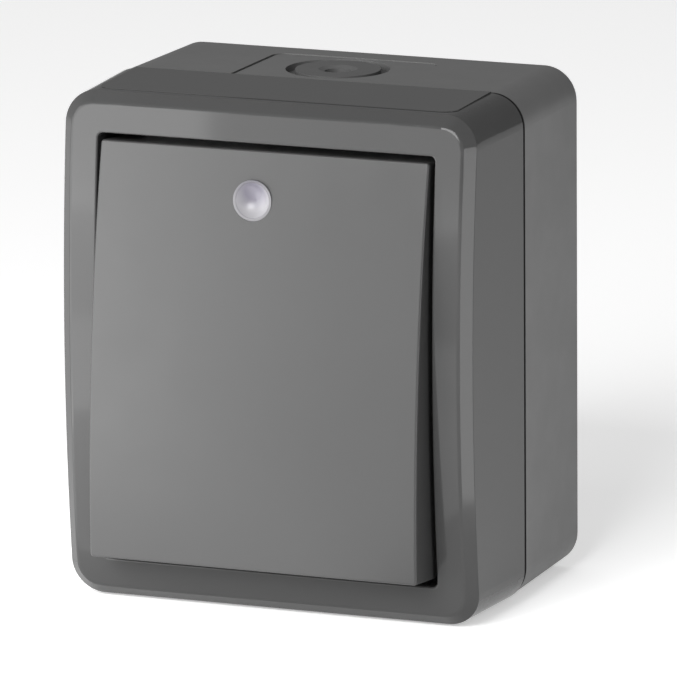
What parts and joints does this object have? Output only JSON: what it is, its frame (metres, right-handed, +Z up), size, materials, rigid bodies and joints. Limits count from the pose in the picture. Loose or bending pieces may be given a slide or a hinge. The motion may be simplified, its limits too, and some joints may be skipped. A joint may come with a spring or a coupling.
{
  "type": "surface-mounted rocker switch",
  "caption": "Surface-mounted weatherproof wall switch: drafted box, bevelled convex cover, one large convex rocker with an indicator lens, cable inlets with closed membranes.",
  "frame": {"origin": "centre of the back face, on the wall", "axes": "+X to the right seen from the front, +Y into the wall, +Z up; the front faces -Y"},
  "size_m": [0.066, 0.0486, 0.0764],
  "materials": {
    "housing_plastic": "fine satin texture",
    "cover_plastic": "gloss",
    "rocker_plastic": "satin",
    "lens_plastic": "clear, slightly violet",
    "inlet_rubber": "smooth, matt",
    "sealing_rubber": "matt",
    "insulating_plastic": "matt",
    "moving_plastic": "matt",
    "plate_steel": "zinc plated",
    "screw_steel": "zinc plated",
    "spring_steel": "drawn wire",
    "contact_brass": "stamped",
    "tip_silver": "bright",
    "lamp_glass": "clear"
  },
  "bodies": {
    "housing": {"rear_box": "housing_plastic", "wall_caps": "insulating_plastic", "box_seal": "sealing_rubber", "inlet_plate_top": "housing_plastic", "inlet_grommet_top": "inlet_rubber", "inlet_plate_bottom": "housing_plastic", "inlet_grommet_bottom": "inlet_rubber", "front_cover": "cover_plastic", "cover_screws": "screw_steel", "cover_screw_seals": "sealing_rubber", "mounting_plate": "plate_steel", "mounting_screws": "screw_steel", "mechanism_seal": "sealing_rubber", "mechanism_base": "insulating_plastic", "bearing_frame": "insulating_plastic", "bearing_screws": "screw_steel", "common_contact": "contact_brass", "upper_contact": "contact_brass", "lower_contact": "contact_brass", "fixed_tips": "tip_silver", "terminal_clamps": "contact_brass", "terminal_screws": "screw_steel", "lamp_holder": "insulating_plastic", "glow_lamp": "lamp_glass", "lamp_contacts": "contact_brass"},
    "rocker": {"rocker": "rocker_plastic", "indicator_lens": "lens_plastic", "cradle": "moving_plastic", "plunger_spring": "spring_steel"},
    "plunger": {"plunger": "moving_plastic"},
    "contact": {"contact_arm": "contact_brass", "moving_tips": "tip_silver"}
  },
  "joints": [
    {"name": "rocker_tilt", "type": "hinge", "parent": "housing", "child": "rocker", "pos_m": [0, -0.038, 0], "axis": [1, 0, 0], "range_deg": [0, 11.46]},
    {"name": "contact_tilt", "type": "hinge", "parent": "housing", "child": "contact", "pos_m": [0, -0.014, 0], "axis": [1, 0, 0], "range_deg": [-12, 0]},
    {"name": "plunger_slide", "type": "slide", "parent": "rocker", "child": "plunger", "axis": [0, -0.995, 0.0998], "range_m": [0, 0.001], "stiffness_N_per_m": 400, "deforming": ["plunger_spring"]}
  ],
  "couplings": [
    {"joint": "contact_tilt", "follows": "rocker_tilt", "ratio": -1.047}
  ]
}
